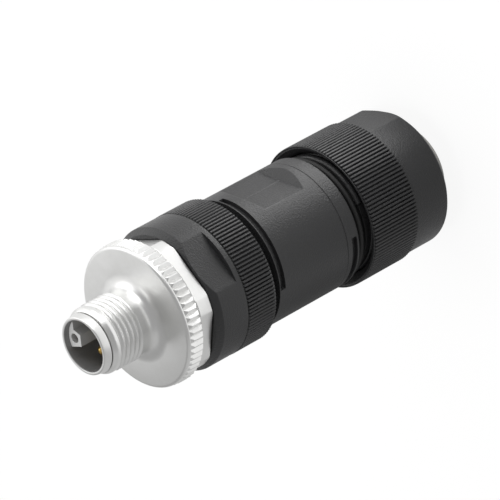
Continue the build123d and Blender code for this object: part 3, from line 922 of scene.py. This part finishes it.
@dataclass
class CouplingScrew:
    """Die-cast coupling screw: rounded lead, M12 thread, fillet, toothed disc and hexagon."""

    thread_crest: float = 6.0
    thread_root: float = 5.52
    thread_pitch: float = 1.0
    thread_length: float = 5.2
    thread_start: float = 0.45
    thread_plain: float = 0.7
    lead_length: float = 1.7
    lead_step: float = 0.3
    lead_radius: float = 5.9
    lead_round: float = 0.75
    lead_edge: float = 0.9
    lead_front_radius: float = 5.45
    neck_length: float = 0.5
    neck_radius: float = 5.5
    neck_step: float = 0.1
    disc_to_thread: float = 3.0
    disc_length: float = 3.9
    disc_radius: float = 12.7
    disc_face_radius: float = 12.0
    disc_back_step: float = 0.5
    rim_round: float = 0.55
    rim_steps: int = 9
    tooth_root: float = 12.15
    tooth_count: int = 62
    tooth_back: float = 0.55
    tooth_front: float = 0.58
    run_out: float = 0.12
    fillet_foot: float = 8.2
    fillet_sharpness: float = 1.2
    fillet_steps: int = 22
    face_rise: float = 0.20
    hexagon_length: float = 2.7
    hexagon_azimuth: float = -77.8
    hexagon_distance: float = 11.0
    hexagon_corner: float = 12.05
    hub_radius: float = 8.0
    bore: float = 5.05
    bore_edge: float = 0.08
    stripe: Pair = (-64.0, 9.0)
    lead_chords: int = 8
    segments: int = 360

    def heights(self, high: float) -> tuple[float, float, float, float]:
        """Give the heights where the screw's forms meet.

        Args:
            high: height of the lead's top.

        Returns:
            The thread's top and foot, the disc's face and its back.
        """
        thread_high = high - self.lead_length
        thread_low = thread_high - self.thread_length
        disc_high = thread_low - self.disc_to_thread
        return thread_high, thread_low, disc_high, disc_high - self.disc_length

    def outline(self, low: float, high: float) -> list[Point]:
        """Give the turned outline between the hub and the lead.

        Args:
            low: height of the hub's lower face.
            high: height of the lead's top.

        Returns:
            The closed outline, as radius and height.
        """
        thread_high, thread_low, disc_high, disc_low = self.heights(high)
        neck_low = thread_low - self.neck_length
        hexagon_low = disc_low - self.hexagon_length
        teeth_high = disc_high - self.tooth_front
        lower = softened(
            [
                Corner(self.bore, low, BROKEN),
                Corner(self.hub_radius, low, EASED),
                Corner(self.hub_radius, hexagon_low),
                Corner(self.hexagon_corner, hexagon_low, ROUND),
                Corner(self.hexagon_corner, disc_low - 2 * HAIR, BROKEN),
                Corner(self.tooth_root - self.disc_back_step, disc_low, BROKEN),
                Corner(self.tooth_root, disc_low + self.tooth_back, BROKEN),
                Corner(self.tooth_root, teeth_high - self.run_out, BROKEN),
                Corner(self.disc_face_radius + self.rim_round, teeth_high),
            ]
        )
        rim = [
            (
                self.disc_face_radius + self.rim_round * math.cos(turn),
                disc_high - self.rim_round * (1 - math.sin(turn)),
            )
            for turn in np.linspace(0.0, QUARTER_TURN, self.rim_steps)
        ]
        width = self.fillet_foot - self.neck_radius
        rise = neck_low - disc_high - self.face_rise
        fillet = [
            (
                self.neck_radius + width * (1 - math.sin(turn)) ** self.fillet_sharpness,
                disc_high + self.face_rise + rise * (1 - math.cos(turn)) ** self.fillet_sharpness,
            )
            for turn in np.linspace(0.0, QUARTER_TURN, self.fillet_steps)
        ]
        upper = softened(
            [
                Corner(self.neck_radius, neck_low + self.neck_step),
                Corner(self.thread_root, thread_low + self.neck_step),
                Corner(self.thread_root, thread_high, CRISP),
                Corner(self.lead_radius, thread_high + self.lead_step, EASED),
                Corner(self.lead_radius, high - self.lead_round, self.lead_edge),
                Corner(self.lead_front_radius, high, ROUND),
                Corner(self.bore, high, self.bore_edge),
            ],
            self.lead_chords,
        )
        return lower + rim + fillet + upper

    def build(self) -> Piece:
        """Build the whole screw as one piece.

        Returns:
            The dressed piece.
        """
        low, high = span("coupling_screw")
        _, thread_low, disc_high, disc_low = self.heights(high)
        hexagon = flats(
            [self.hexagon_azimuth + 60 * k for k in range(6)],
            self.hexagon_distance,
            disc_low - self.hexagon_length - HAIR,
            disc_low - HAIR,
        )
        body = lathe("coupling_screw_body", self.outline(low, high), self.segments, [hexagon])
        teeth = knurl(
            self.tooth_count,
            self.tooth_root,
            self.disc_radius,
            disc_low + self.tooth_back / 2,
            disc_high - self.tooth_front,
            Law.COARSE,
            CAST_NICKEL,
        )
        thread = ridge(
            CAST_NICKEL,
            self.thread_root,
            self.thread_crest - self.thread_root,
            self.thread_pitch,
            thread_low + self.thread_start,
            self.thread_length - self.thread_plain,
            self.stripe,
        )
        return joined("coupling_screw_plated", [dressed(body, CAST_NICKEL), teeth, thread])


@dataclass
class ContactShell:
    """Turned shell round the contacts, with a flared, rounded rim and a dull bore in a darker grey
    that is painted shade.
    """

    wall: float = 0.40
    outside: float = 4.95
    rim_back: float = 5.35
    rim_back_edge: float = 0.12
    rim_front: float = 5.06
    rim_front_edge: float = 0.18
    rim_length: float = 1.45
    shoulder: Pair = (0.1, 0.45)
    shoulder_edge: float = 0.4
    mouth: Pair = (0.02, 0.6)
    mouth_edge: float = 0.16
    bore_share: float = 0.125
    chords: int = 6
    segments: int = 192

    def build(self) -> Piece:
        """Build the shell, plated outside and dull in its bore, where a darker grey is painted
        shade.

        Returns:
            The dressed shell.
        """
        low, high = span("contact_shell")
        bore = self.outside - self.wall
        rim_low = high - self.rim_length
        wider, drop = self.shoulder
        outline = softened(
            [
                Corner(bore, low, CRISP),
                Corner(self.outside, low, CRISP),
                Corner(self.outside, rim_low),
                Corner(self.rim_back, rim_low, self.rim_back_edge),
                Corner(self.rim_front + wider, high - drop, self.shoulder_edge),
                Corner(self.rim_front, high, self.rim_front_edge),
                Corner(bore + self.mouth[0], high, self.mouth_edge),
                Corner(bore, high - self.mouth[1]),
            ],
            self.chords,
        )
        shell = dressed(lathe("contact_shell_plated", outline, self.segments), TURNED_NICKEL)
        # The bore's faces take the darker nickel: painted shade inside the cavity.
        shell.data.materials.append(DULL_NICKEL_PAINTED_SHADE.material())
        inside = (bore + self.wall * self.bore_share) * MM
        for face in shell.data.polygons:
            if math.hypot(face.center.x, face.center.y) < inside:
                face.material_index = 1
        return shell


@dataclass
class UnionNut:
    """What the two black union nuts share: a fine knurl round a turned body."""

    knurl_root: float
    knurl_crest: float
    knurl_count: int = 120
    segments: int = 480

    def knurled(
        self, name: str, outline: Sequence[Point], trim: Trim, low: float, high: float
    ) -> Piece:
        """Turn a nut's body and set the knurl round it.

        Args:
            name: the nut's name.
            outline: its closed outline, as radius and height.
            trim: the trim of its wrench flats.
            low: height where the knurl begins.
            high: height where it ends.

        Returns:
            The dressed nut.
        """
        body = dressed(lathe(f"{name}_body", outline, self.segments, [trim]), BLACK_POLYAMIDE)
        radii = self.knurl_root, self.knurl_crest
        ribs = knurl(self.knurl_count, *radii, low, high, Law.FINE, BLACK_POLYAMIDE)
        return joined(f"{name}_moulded", [body, ribs])


@dataclass
class FrontCollar(UnionNut):
    """Front union nut: plain front with two wrench flats, knurled rear."""

    knurl_root: float = 12.45
    knurl_crest: float = 12.85
    knurl_edge: float = 0.08
    knurl_margins: Pair = (0.04, 0.02)
    plain_length: float = 6.5
    radius: float = 12.8
    bevel: float = 1.0
    bevel_edge: float = 0.15
    rear_bevel: float = 0.3
    flat_azimuth: float = -79.2
    flat_distance: float = 11.75
    flat_end: float = 1.0
    wall: float = 2.1
    hole: float = 8.3
    bore: float = 10.75
    lead_in: Pair = (0.3, 0.4)
    row_step: float = 0.12

    def build(self) -> Piece:
        """Build the collar with its knurl.

        Returns:
            The dressed piece.
        """
        low, high = span("front_collar")
        knurl_high = high - self.plain_length
        flat_low = knurl_high + self.flat_end
        outline = softened(
            [
                Corner(self.bore + self.lead_in[0], low, BROKEN),
                Corner(self.knurl_root - self.rear_bevel, low, BROKEN),
                Corner(self.knurl_root, low + self.rear_bevel, BROKEN),
                Corner(self.knurl_root, knurl_high),
                Corner(self.radius, knurl_high, self.knurl_edge),
                Corner(self.radius, flat_low - HAIR),
                Corner(self.radius, flat_low),
                Corner(self.radius, high - self.bevel, ROUND),
                Corner(self.radius - self.bevel, high, self.bevel_edge),
                Corner(self.hole, high, BROKEN),
                Corner(self.hole, high - self.wall, CRISP),
                Corner(self.bore, high - self.wall),
                Corner(self.bore, low + self.lead_in[1]),
            ]
        )
        face = self.radius - self.bevel
        outline = closer_rows(outline, high - self.bevel, high, self.row_step, face)
        centres = [self.flat_azimuth, self.flat_azimuth + 180]
        trim = flats(centres, self.flat_distance, flat_low - HAIR / 2, high + 1)
        first, last = low + self.knurl_margins[0], knurl_high - self.knurl_margins[1]
        return self.knurled("front_collar", outline, trim, first, last)


@dataclass
class Sleeve:
    """Black middle sleeve: grip pockets, part slots at both ends and a thread on each spigot.

    A slot is given as the height over the body's lower end and the width.
    """

    radius: float = 11.8
    body_edges: Pair = (0.22, 0.12)
    rear_thread_length: float = 11.9
    body_length: float = 18.7
    pocket_azimuth: float = -35.0
    pocket_distance: float = 10.45
    pocket_low: float = 5.6
    pocket_length: float = 8.7
    pocket_slope: float = 1.2
    pocket_curve: float = 1.4
    pocket_reach: float = 60.0
    pocket_margins: Pair = (0.2, 0.1)
    parting_half_angle: float = 0.4
    parting_depth: float = 0.06
    front_slot: Pair = (17.4, 1.08)
    front_slot_azimuths: tuple[float, ...] = (-79.2, 100.8)
    rear_slot: Pair = (0.55, 1.15)
    rear_slot_azimuths: tuple[float, ...] = (190.8,)
    slot_half_angle: float = 50.0
    slot_depth: float = 0.7
    slot_flank: float = 0.015
    seam_height: float = 2.75
    seam_width: float = 0.12
    seam_depth: float = 0.10
    rear_thread: float = 11.0
    front_thread: float = 10.6
    front_thread_gap: float = 1.2
    thread_depth: float = 0.35
    thread_pitch: float = 1.5
    thread_start: float = 0.5
    thread_plain: float = 1.0
    neck_radius: float = 10.0
    neck_length: float = 2.6
    chamber: float = 9.8
    seal_bore: float = 9.7
    shoulder: float = 8.4
    shoulder_drop: float = 0.6
    shoulder_length: float = 3.8
    row_step: float = 0.12
    segments: int = 480

    @property
    def body_low(self) -> float:
        """Height of the body's lower end, above the rear thread and the neck."""
        return span("sleeve")[0] + self.rear_thread_length + self.neck_length

    def pockets(self) -> Trim:
        """Make the trim of the two grip pockets, with flat floors and sloping ends.

        Returns:
            A function that limits the radius at each azimuth for one height.
        """
        foot = self.body_low + self.pocket_low
        head = foot + self.pocket_length

        def limit(azimuths: np.ndarray, height: float) -> np.ndarray:
            """Give the largest radius that the pockets leave.

            Args:
                azimuths: the azimuths of one row.
                height: its height.

            Returns:
                One radius for each azimuth.
            """
            depth = self.radius - self.pocket_distance
            beyond = max(foot - height, height - head, 0.0)
            climbed = min(beyond / (self.pocket_slope * depth), 1.0)
            floor = self.pocket_distance + depth * (1 - (1 - climbed) ** self.pocket_curve)
            radii = np.full(len(azimuths), NO_LIMIT)
            if climbed >= 1.0:
                return radii
            for turn in (0, 180):
                off = angle_between(azimuths, self.pocket_azimuth + turn)
                near = np.abs(off) < self.pocket_reach
                radii[near] = floor / np.cos(np.radians(off[near]))
                if not beyond:
                    radii[np.abs(off) < self.parting_half_angle] -= self.parting_depth
            return radii

        return limit

    def slots(self) -> Trim:
        """Make the trim of the part slots and of the seam line.

        Returns:
            A function that limits the radius at each azimuth for one height.
        """
        bands = [
            (azimuth, self.body_low + foot, self.body_low + foot + width)
            for azimuths, (foot, width) in (
                (self.front_slot_azimuths, self.front_slot),
                (self.rear_slot_azimuths, self.rear_slot),
            )
            for azimuth in azimuths
        ]
        seam = self.body_low + self.seam_height

        def limit(azimuths: np.ndarray, height: float) -> np.ndarray:
            """Give the largest radius that the slots and the seam leave.

            Args:
                azimuths: the azimuths of one row.
                height: its height.

            Returns:
                One radius for each azimuth.
            """
            radii = np.full(len(azimuths), NO_LIMIT)
            for azimuth, low, high in bands:
                if low < height < high:
                    inside = np.abs(angle_between(azimuths, azimuth)) < self.slot_half_angle
                    radii[inside] = self.radius - self.slot_depth
            if abs(height - seam) < self.seam_width / 2:
                radii = np.minimum(radii, self.radius - self.seam_depth)
            return radii

        return limit

    def wall(self) -> list[Corner]:
        """Give the rows of the outer wall where a slot's flank or the seam needs them.

        Returns:
            The rows from the lowest to the highest.
        """
        marks = []
        for foot, width in (self.rear_slot, self.front_slot):
            for edge in (foot, foot + width):
                height = self.body_low + edge
                marks += [height - self.slot_flank, height + self.slot_flank]
        seam = self.body_low + self.seam_height
        marks += [seam - self.seam_width, seam, seam + self.seam_width]
        return [Corner(self.radius, mark) for mark in sorted(marks)]

    def outline(self, low: float, high: float) -> list[Point]:
        """Give the turned outline, with close rows at the ends of the pockets.

        Args:
            low: height of the rear spigot's end.
            high: height of the front spigot's end.

        Returns:
            The closed outline, as radius and height.
        """
        top = self.body_low + self.body_length
        neck_low = self.body_low - self.neck_length
        shoulder_low = neck_low - self.shoulder_drop
        shoulder_high = shoulder_low + self.shoulder_length
        rear_root = self.rear_thread - self.thread_depth
        front_root = self.front_thread - self.thread_depth
        outline = softened(
            [
                Corner(self.seal_bore, low, BROKEN),
                Corner(rear_root, low, EASED),
                Corner(rear_root, neck_low, BROKEN),
                Corner(self.neck_radius, neck_low),
                Corner(self.neck_radius, self.body_low, BROKEN),
                Corner(self.radius, self.body_low, self.body_edges[0]),
                *self.wall(),
                Corner(self.radius, top, self.body_edges[1]),
                Corner(front_root, top, BROKEN),
                Corner(front_root, high, EASED),
                Corner(self.chamber, high, BROKEN),
                Corner(self.chamber, shoulder_high),
                Corner(self.shoulder, shoulder_high),
                Corner(self.shoulder, shoulder_low),
                Corner(self.seal_bore, shoulder_low),
            ]
        )
        foot = self.body_low + self.pocket_low
        head = foot + self.pocket_length
        outer, inner = self.pocket_margins
        reach = self.pocket_slope * (self.radius - self.pocket_distance)
        ends = ((foot - reach - outer, foot + inner), (head - inner, head + reach + outer))
        for first, last in ends:
            outline = closer_rows(outline, first, last, self.row_step, self.radius - HAIR)
        return outline

    def thread(self, crest: float, low: float, high: float) -> Piece:
        """Wind a ridge on one spigot.

        Args:
            crest: radius over the ridge.
            low: height where the thread begins.
            high: height where it ends.

        Returns:
            The ridge as its own object.
        """
        return ridge(
            BLACK_POLYAMIDE,
            crest - self.thread_depth,
            self.thread_depth,
            self.thread_pitch,
            low + self.thread_start,
            high - low - self.thread_plain,
        )

    def build(self) -> Piece:
        """Build the sleeve with its two threads.

        Returns:
            The dressed piece.
        """
        low, high = span("sleeve")
        top = self.body_low + self.body_length
        trims = [self.pockets(), self.slots()]
        body = lathe("sleeve_body_mesh", self.outline(low, high), self.segments, trims)
        threads = [
            self.thread(self.rear_thread, low, self.body_low - self.neck_length),
            self.thread(self.front_thread, top + self.front_thread_gap, high),
        ]
        return joined("sleeve_moulded", [dressed(body, BLACK_POLYAMIDE), *threads])


@dataclass
class GlandNut(UnionNut):
    """Rear pressing nut: knurled front, two wrench flats and a bevel behind."""

    knurl_root: float = 12.50
    knurl_crest: float = 12.90
    flats_length: float = 8.05
    plain_radius: float = 12.5
    rear_bevel: float = 0.8
    rear_edges: tuple[float, ...] = (0.15, 0.25, 0.3)
    land: float = 0.14
    land_radius: float = 12.87
    land_edges: tuple[float, ...] = (0.03, 0.08, 0.04)
    flat_distance: float = 11.65
    flat_azimuths: Pair = (-26.4, 153.6)
    wall: float = 1.8
    hole: float = 8.3
    bore: float = 11.15
    bore_step: float = 0.3
    mouth: float = 12.72
    row_step: float = 0.1

    def build(self) -> Piece:
        """Build the nut with its knurl.

        Returns:
            The dressed piece.
        """
        low, high = span("gland_nut")
        knurl_low = low + self.flats_length
        knurl_high = high - self.land
        face = self.plain_radius - self.rear_bevel
        cone_top = low + self.wall + (self.bore - self.bore_step - self.hole)
        outline = softened(
            [
                Corner(self.hole, low, self.rear_edges[0]),
                Corner(face, low, self.rear_edges[1]),
                Corner(self.plain_radius, low + self.rear_bevel, self.rear_edges[2]),
                Corner(self.plain_radius, knurl_low - 2 * HAIR, CRISP),
                Corner(self.knurl_root, knurl_low),
                Corner(self.knurl_root, knurl_high),
                Corner(self.land_radius, knurl_high + CRISP, self.land_edges[0]),
                Corner(self.land_radius, high, self.land_edges[1]),
                Corner(self.mouth, high, self.land_edges[2]),
                Corner(self.bore, high - (self.mouth - self.bore), BROKEN),
                Corner(self.bore, cone_top),
                Corner(self.bore - self.bore_step, cone_top),
                Corner(self.hole, low + self.wall, BROKEN),
            ]
        )
        outline = closer_rows(outline, low, low + self.rear_bevel, self.row_step, face)
        trim = flats(self.flat_azimuths, self.flat_distance, low - 1, knurl_low - HAIR)
        return self.knurled("gland_nut", outline, trim, knurl_low, knurl_high)


@dataclass(frozen=True)
class Inside:
    """The CAD nodes that keep their solids: contacts, terminals, seals and clamp cage."""

    single: tuple[tuple[str, Finish], ...] = (
        ("contact_insert", GREY_POLYESTER),
        ("terminal_block", DARK_CARRIER),
        ("clamp_cage", NATURAL_NYLON),
        ("thrust_washer", NATURAL_NYLON),
        ("cable_seal", SEAL_RUBBER),
        ("nut_seal", SEAL_RUBBER),
        ("carrier_seal", SEAL_RUBBER),
        ("earth_contact", GOLD_PLATE),
    )
    numbered: tuple[tuple[str, int, Finish], ...] = (
        ("contact_pin", 3, GOLD_PLATE),
        ("terminal_screw", 4, BRIGHT_ZINC),
        ("wire_plate", 4, BRIGHT_ZINC),
    )

    def dress(self) -> None:
        """Give each of these nodes its finish."""
        finishes = dict(self.single)
        for name, count, finish in self.numbered:
            finishes.update({f"{name}_{k}": finish for k in range(1, count + 1)})
        for node, finish in finishes.items():
            for place in frame["nodes"][node].material_slots:
                place.material = finish.material()
            LOG.info("%s keeps its solid, in %s", node, finish.name)


@dataclass(frozen=True)
class Lamp:
    """One soft area lamp, placed about the middle of the object, in metres and watts.

    It is turned towards the middle, or straight up where it lies on the floor.
    """

    name: str
    place: Place
    size: Pair
    power: float
    turn: float = 0.0
    lies: bool = False
    in_mirrors: bool = True


@dataclass(frozen=True)
class Panel:
    """One bright side of the room, as a mirror in the studio shows it."""

    direction: Place
    inner: float
    outer: float
    strength: float


@dataclass(frozen=True)
class PaintedShadePatch:
    """One pale or dark patch of painted shadow that lies on the floor, seen only in mirrors, in
    millimetres.
    """

    centre: Pair
    radius: float
    soft: float
    strength: float


@dataclass
class Studio:
    """Pale floor, soft lamps and the camera at the photograph's viewing angle.

    The camera's place is given from the tip of the contact shell and, as what mirrors show of
    the floor, in millimetres. The floor and the lamps are in metres.
    """

    frame_pixels: float = 500.0
    focal_pixels: float = 4500.0
    sensor: float = 36.0
    clip: Pair = (0.05, 50.0)
    tip_to_camera: Place = (0.78, -607.2, 396.5)
    camera_up: Place = (0.878, -0.279, -0.390)
    camera_back: Place = (0.0, -0.813, 0.582)
    middle_height: float = 0.040
    floor_size: float = 6.0
    floor_seen: float = 0.90
    floor_colour: str = "#5a5a5a"
    bounce: float = 0.25
    ambient: float = 0.50
    room: float = 0.40
    # What mirrors see of the floor is painted light: paler on the side towards the key lamp.
    painted_light_side: Pair = (0.8, -0.6)
    floor_mirrored: Pair = (0.50, 1.0)
    floor_fade: Pair = (-85.0, 25.0)
    lamp_over_floor: float = 0.0005
    panels: tuple[Panel, ...] = (
        Panel((0.60, 0.65, 0.46), 28.0, 52.0, 1.0),
        Panel((-0.9, 0.1, 0.3), 15.0, 60.0, 0.55),
    )
    # Patches of painted shadow near the object, seen only in mirrors.
    painted_shade_patches: tuple[PaintedShadePatch, ...] = (
        PaintedShadePatch((120.0, 40.0), 130.0, 30.0, 0.88),
        PaintedShadePatch((-10.0, -28.0), 38.0, 14.0, 0.42),
        PaintedShadePatch((14.0, 34.0), 28.0, 8.0, 0.35),
        PaintedShadePatch((-46.0, 34.0), 36.0, 8.0, 0.12),
    )
    lamps: tuple[Lamp, ...] = (
        Lamp("key", (0.355, -0.200, 0.081), (0.34, 0.34), 0.80),
        Lamp("back", (0.36, 0.165, 0.23), (0.40, 0.40), 0.42),
        Lamp("top", (0.02, 0.06, 0.50), (0.30, 0.30), 1.30, in_mirrors=False),
        Lamp("low", (0.0484, -0.0353, 0.0), (0.044, 0.068), 0.0238, turn=40.0, lies=True),
    )

    def camera(self) -> None:
        """Place the camera from the solved view of the photograph."""
        data = bpy.data.cameras.new("camera")
        data.lens = self.focal_pixels / self.frame_pixels * self.sensor
        data.sensor_width = self.sensor
        data.clip_start, data.clip_end = self.clip
        camera = bpy.data.objects.new("camera", data)
        bpy.context.scene.collection.objects.link(camera)
        tip = Vector((0.0, 0.0, span("contact_shell")[1] * MM))
        back = Vector(self.camera_back).normalized()
        up = Vector(self.camera_up)
        up = (up - back * up.dot(back)).normalized()
        turn = Matrix((up.cross(back), up, back)).transposed().to_4x4()
        camera.matrix_world = Matrix.Translation(tip + Vector(self.tip_to_camera) * MM) @ turn
        bpy.context.scene.camera = camera

    def room_in_mirrors(self, tree: Tree, direction: Source) -> Source:
        """Give what a mirror sees above the floor: bright panels before a darker room.

        Args:
            tree: the world's node tree.
            direction: where the mirrored ray goes.

        Returns:
            The strength in that direction.
        """
        level: Source | float = self.room
        for panel in self.panels:
            facing = add_node(
                tree,
                "ShaderNodeVectorMath",
                {0: direction, 1: Vector(panel.direction).normalized()},
                operation="DOT_PRODUCT",
            )
            lit = add_node(
                tree,
                "ShaderNodeMapRange",
                {
                    "Value": facing,
                    "From Min": math.cos(math.radians(panel.outer)),
                    "From Max": math.cos(math.radians(panel.inner)),
                    "To Max": panel.strength,
                },
                interpolation_type="SMOOTHSTEP",
            )
            level = add_node(tree, "ShaderNodeMath", {0: level, 1: lit}, operation="MAXIMUM")
        return level

    def floor_in_mirrors(self, tree: Tree, place: Source) -> Source:
        """Give what a mirror sees of the floor: painted light, paler on the side towards the key
        lamp, with patches of painted shadow lying on it.

        Args:
            tree: the floor's node tree.
            place: the mirrored point on the floor.

        Returns:
            The strength at that point.
        """
        # Painted light: the floor shows paler in mirrors on the side towards the key lamp.
        side = add_node(
            tree,
            "ShaderNodeVectorMath",
            {0: place, 1: (*self.painted_light_side, 0.0)},
            operation="DOT_PRODUCT",
        )
        level = add_node(
            tree,
            "ShaderNodeMapRange",
            {
                "Value": side,
                "From Min": self.floor_fade[0] * MM,
                "From Max": self.floor_fade[1] * MM,
                "To Min": self.floor_mirrored[0],
                "To Max": self.floor_mirrored[1],
            },
        )
        # Each patch darkens what mirrors see of the floor: painted shadow near the object.
        for shade_patch in self.painted_shade_patches:
            centre = (shade_patch.centre[0] * MM, shade_patch.centre[1] * MM, 0.0)
            away = add_node(
                tree, "ShaderNodeVectorMath", {0: place, 1: centre}, operation="DISTANCE"
            )
            shade_share = add_node(
                tree,
                "ShaderNodeMapRange",
                {
                    "Value": away,
                    "From Min": (shade_patch.radius + shade_patch.soft) * MM,
                    "From Max": (shade_patch.radius - shade_patch.soft) * MM,
                },
                interpolation_type="SMOOTHSTEP",
            )
            mixed = {"Factor": shade_share, "A": level, "B": shade_patch.strength}
            level = add_node(tree, "ShaderNodeMix", mixed)
        return level

    def strength(self, tree: Tree, to_mirrors: Source, to_matt: float, to_camera: float) -> Source:
        """Choose a strength by the kind of ray that looks.

        Args:
            tree: the floor's or the world's node tree.
            to_mirrors: strength that shines back from metal and gloss.
            to_matt: strength that lights matt surfaces.
            to_camera: strength that the camera sees, also through clear pieces.

        Returns:
            The strength for this ray.
        """
        rays = add_node(tree, "ShaderNodeLightPath").outputs
        mirrored = add_node(
            tree, "ShaderNodeMix", {"Factor": rays["Is Glossy Ray"], "A": to_matt, "B": to_mirrors}
        )
        straight = add_node(
            tree,
            "ShaderNodeMath",
            {0: rays["Is Camera Ray"], 1: rays["Is Transmission Ray"]},
            operation="MAXIMUM",
        )
        seen = {"Factor": straight, "A": mirrored, "B": to_camera}
        return add_node(tree, "ShaderNodeMix", seen)

    def floor(self) -> None:
        """Lay the pale floor, white to the camera apart from the object's soft shadow."""
        half = self.floor_size / 2
        mesh = bpy.data.meshes.new("floor")
        mesh.from_pydata(
            [(-half, -half, 0), (half, -half, 0), (half, half, 0), (-half, half, 0)],
            [],
            [(0, 1, 2, 3)],
        )
        floor = bpy.data.objects.new("floor", mesh)
        bpy.context.scene.collection.objects.link(floor)
        material = bpy.data.materials.new("pale_floor")
        material.use_nodes = True
        tree = material.node_tree
        tree.nodes.clear()
        place = add_node(tree, "ShaderNodeNewGeometry")
        # Mirrors see the floor's painted light and painted shadow; the camera sees it white apart
        # from the object's soft shadow.
        seen = self.strength(tree, self.floor_in_mirrors(tree, place), self.bounce, self.floor_seen)
        glow = add_node(tree, "ShaderNodeEmission", {"Strength": seen})
        matt = add_node(tree, "ShaderNodeBsdfDiffuse", {"Color": linear(self.floor_colour)})
        both = add_node(tree, "ShaderNodeAddShader", {0: glow, 1: matt})
        add_node(tree, "ShaderNodeOutputMaterial", {"Surface": both})
        mesh.materials.append(material)

    def world(self) -> None:
        """Make the world white to the camera, panels in mirrors and a soft fill elsewhere."""
        world = bpy.data.worlds.new("studio")
        bpy.context.scene.world = world
        world.use_nodes = True
        tree = world.node_tree
        tree.nodes.clear()
        ahead = add_node(tree, "ShaderNodeTexCoord").outputs["Generated"]
        seen = self.strength(tree, self.room_in_mirrors(tree, ahead), self.ambient, 1.0)
        sky = add_node(tree, "ShaderNodeBackground", {"Color": linear("#ffffff"), "Strength": seen})
        add_node(tree, "ShaderNodeOutputWorld", {"Surface": sky})

    def light(self) -> None:
        """Hang the lamps, turned towards the middle of the object or lying on the floor."""
        middle = Vector((0.0, 0.0, self.middle_height))
        for lamp in self.lamps:
            data = bpy.data.lights.new(lamp.name, "AREA")
            data.shape = "RECTANGLE"
            data.size, data.size_y = lamp.size
            data.energy = lamp.power
            lit = bpy.data.objects.new(lamp.name, data)
            bpy.context.scene.collection.objects.link(lit)
            place = Vector(lamp.place)
            if lamp.lies:
                lit.location = (place.x, place.y, self.lamp_over_floor)
                lit.rotation_euler = (math.pi, 0.0, math.radians(lamp.turn))
            else:
                lit.location = middle + place
                lit.rotation_euler = place.to_track_quat("Z", "Y").to_euler()
            lit.visible_camera = False
            lit.visible_glossy = lamp.in_mirrors

    def build(self) -> None:
        """Set the stage and the plain view settings."""
        self.camera()
        self.floor()
        self.world()
        self.light()
        bpy.context.scene.view_settings.view_transform = "Standard"


def main() -> None:
    """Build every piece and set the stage."""
    logging.basicConfig(level=logging.INFO, format="%(message)s")
    stand_for(CouplingScrew().build(), "coupling_screw")
    stand_for(ContactShell().build(), "contact_shell")
    stand_for(FrontCollar().build(), "front_collar")
    stand_for(Sleeve().build(), "sleeve")
    stand_for(GlandNut().build(), "gland_nut")
    Inside().dress()
    Studio().build()


if __name__ == "__main__":
    main()
